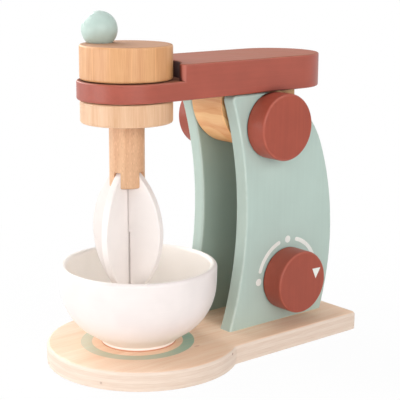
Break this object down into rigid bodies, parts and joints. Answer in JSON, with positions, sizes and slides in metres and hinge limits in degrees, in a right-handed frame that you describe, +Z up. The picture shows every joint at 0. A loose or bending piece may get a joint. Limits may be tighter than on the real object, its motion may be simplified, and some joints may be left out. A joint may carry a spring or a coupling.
{
  "type": "toy stand mixer",
  "caption": "Wooden toy stand mixer: hand crank on a tilting arm turns a crossed-blade whisk in a loose bowl; two side panels, a turning dial and a plywood base.",
  "frame": {"origin": "on the table, under the middle of the base board's length and width", "axes": "+Z up, +Y towards the back of the mixer, +X towards the side panel that carries the dial"},
  "size_m": [0.136, 0.2326, 0.2447],
  "materials": {
    "plywood": "clear-lacquered birch plywood, satin, plies showing on the edge, with a thin mint ring painted on top",
    "mint_paint": "satin mint paint on wood",
    "terracotta_paint": "satin terracotta paint on wood",
    "white_paint": "satin warm white paint on wood",
    "turned_wood": "clear-lacquered turned hardwood, satin",
    "dowel_wood": "clear-lacquered beech dowel, satin",
    "block_wood": "clear-lacquered pine, satin",
    "zinc_steel": "bright zinc plated"
  },
  "bodies": {
    "stand": {"base": "plywood", "side_panel_dial": "mint_paint", "side_panel_plain": "mint_paint", "panel_screws": "zinc_steel"},
    "arm": {"mixer_arm": "terracotta_paint", "arm_dowels": "dowel_wood", "hinge_block": "block_wood", "hinge_axle": "dowel_wood", "hinge_knob_dial_side": "terracotta_paint", "hinge_knob_plain_side": "terracotta_paint"},
    "whisk_drive": {"crank_disc": "turned_wood", "crank_ball": "mint_paint", "crank_ball_pin": "dowel_wood", "drive_shaft": "dowel_wood", "lower_disc": "turned_wood", "whisk_blade_upper": "white_paint", "whisk_blade_lower": "white_paint"},
    "bowl": {"bowl": "white_paint"},
    "dial": {"dial": "terracotta_paint", "dial_axle": "dowel_wood", "dial_retainer": "dowel_wood"}
  },
  "joints": [
    {"name": "arm_tilt", "type": "hinge", "parent": "stand", "child": "arm", "pos_m": [0, 0.0456, 0.1622], "axis": [-1, 0, 0], "range_deg": [0, 27]},
    {"name": "whisk_spin", "type": "hinge", "parent": "arm", "child": "whisk_drive", "pos_m": [0, -0.0608, 0.211], "axis": [0, 0, 1], "continuous": true},
    {"name": "dial_turn", "type": "hinge", "parent": "stand", "child": "dial", "pos_m": [0.0302, 0.063, 0.0454], "axis": [1, 0, 0], "continuous": true},
    {"name": "bowl_lift", "type": "slide", "parent": "stand", "child": "bowl", "axis": [0, 0, 1], "range_m": [0, 0.024]}
  ]
}
